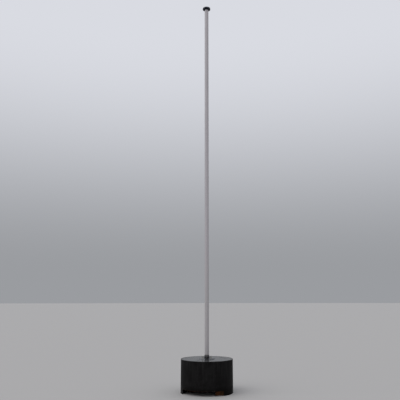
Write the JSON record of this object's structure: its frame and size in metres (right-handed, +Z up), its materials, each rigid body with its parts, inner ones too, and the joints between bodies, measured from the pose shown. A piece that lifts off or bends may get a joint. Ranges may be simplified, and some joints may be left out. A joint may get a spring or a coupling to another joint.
{
  "type": "free-standing flagpole",
  "caption": "Tall plain tubular flagpole with a flat mushroom cap, held in a clamped socket at the middle of a round concrete-filled drum, which stands on two curved feet with fork openings between them.",
  "frame": {"origin": "on the ground under the middle of the ballast drum", "axes": "+Z up along the mast, -Y towards the pictured front, +X to the right of that front"},
  "size_m": [0.955, 0.955, 7.717],
  "materials": {
    "mast_paint": "pale grey-white polyester powder coat on aluminium tube, satin, rain-streaked",
    "cap_moulding": "black moulded nylon, satin",
    "socket_paint": "dark painted steel, chipped at the edges",
    "galvanised_steel": "hot-dip galvanised, dull and wet",
    "zinc_fasteners": "zinc-plated steel with light rust",
    "bush_moulding": "dark moulded nylon",
    "drum_paint": "matt black paint on rolled steel, scuffed and water-stained",
    "concrete": "floated grey concrete, wet",
    "timber": "rough-sawn softwood, wet"
  },
  "bodies": {
    "root": {"mast_tube": "mast_paint", "top_cap": "cap_moulding", "socket_tube": "socket_paint", "socket_bush": "bush_moulding", "socket_flange": "galvanised_steel", "anchor_bolt_1": "zinc_fasteners", "anchor_bolt_2": "zinc_fasteners", "anchor_bolt_3": "zinc_fasteners", "anchor_bolt_4": "zinc_fasteners", "clamp_screw_1": "zinc_fasteners", "clamp_screw_2": "zinc_fasteners", "clamp_screw_3": "zinc_fasteners", "drum_shell": "drum_paint", "drum_foot_right": "drum_paint", "drum_foot_left": "drum_paint", "drum_floor": "drum_paint", "concrete_fill": "concrete", "bearer_right": "timber", "bearer_left": "timber"}
  },
  "joints": []
}
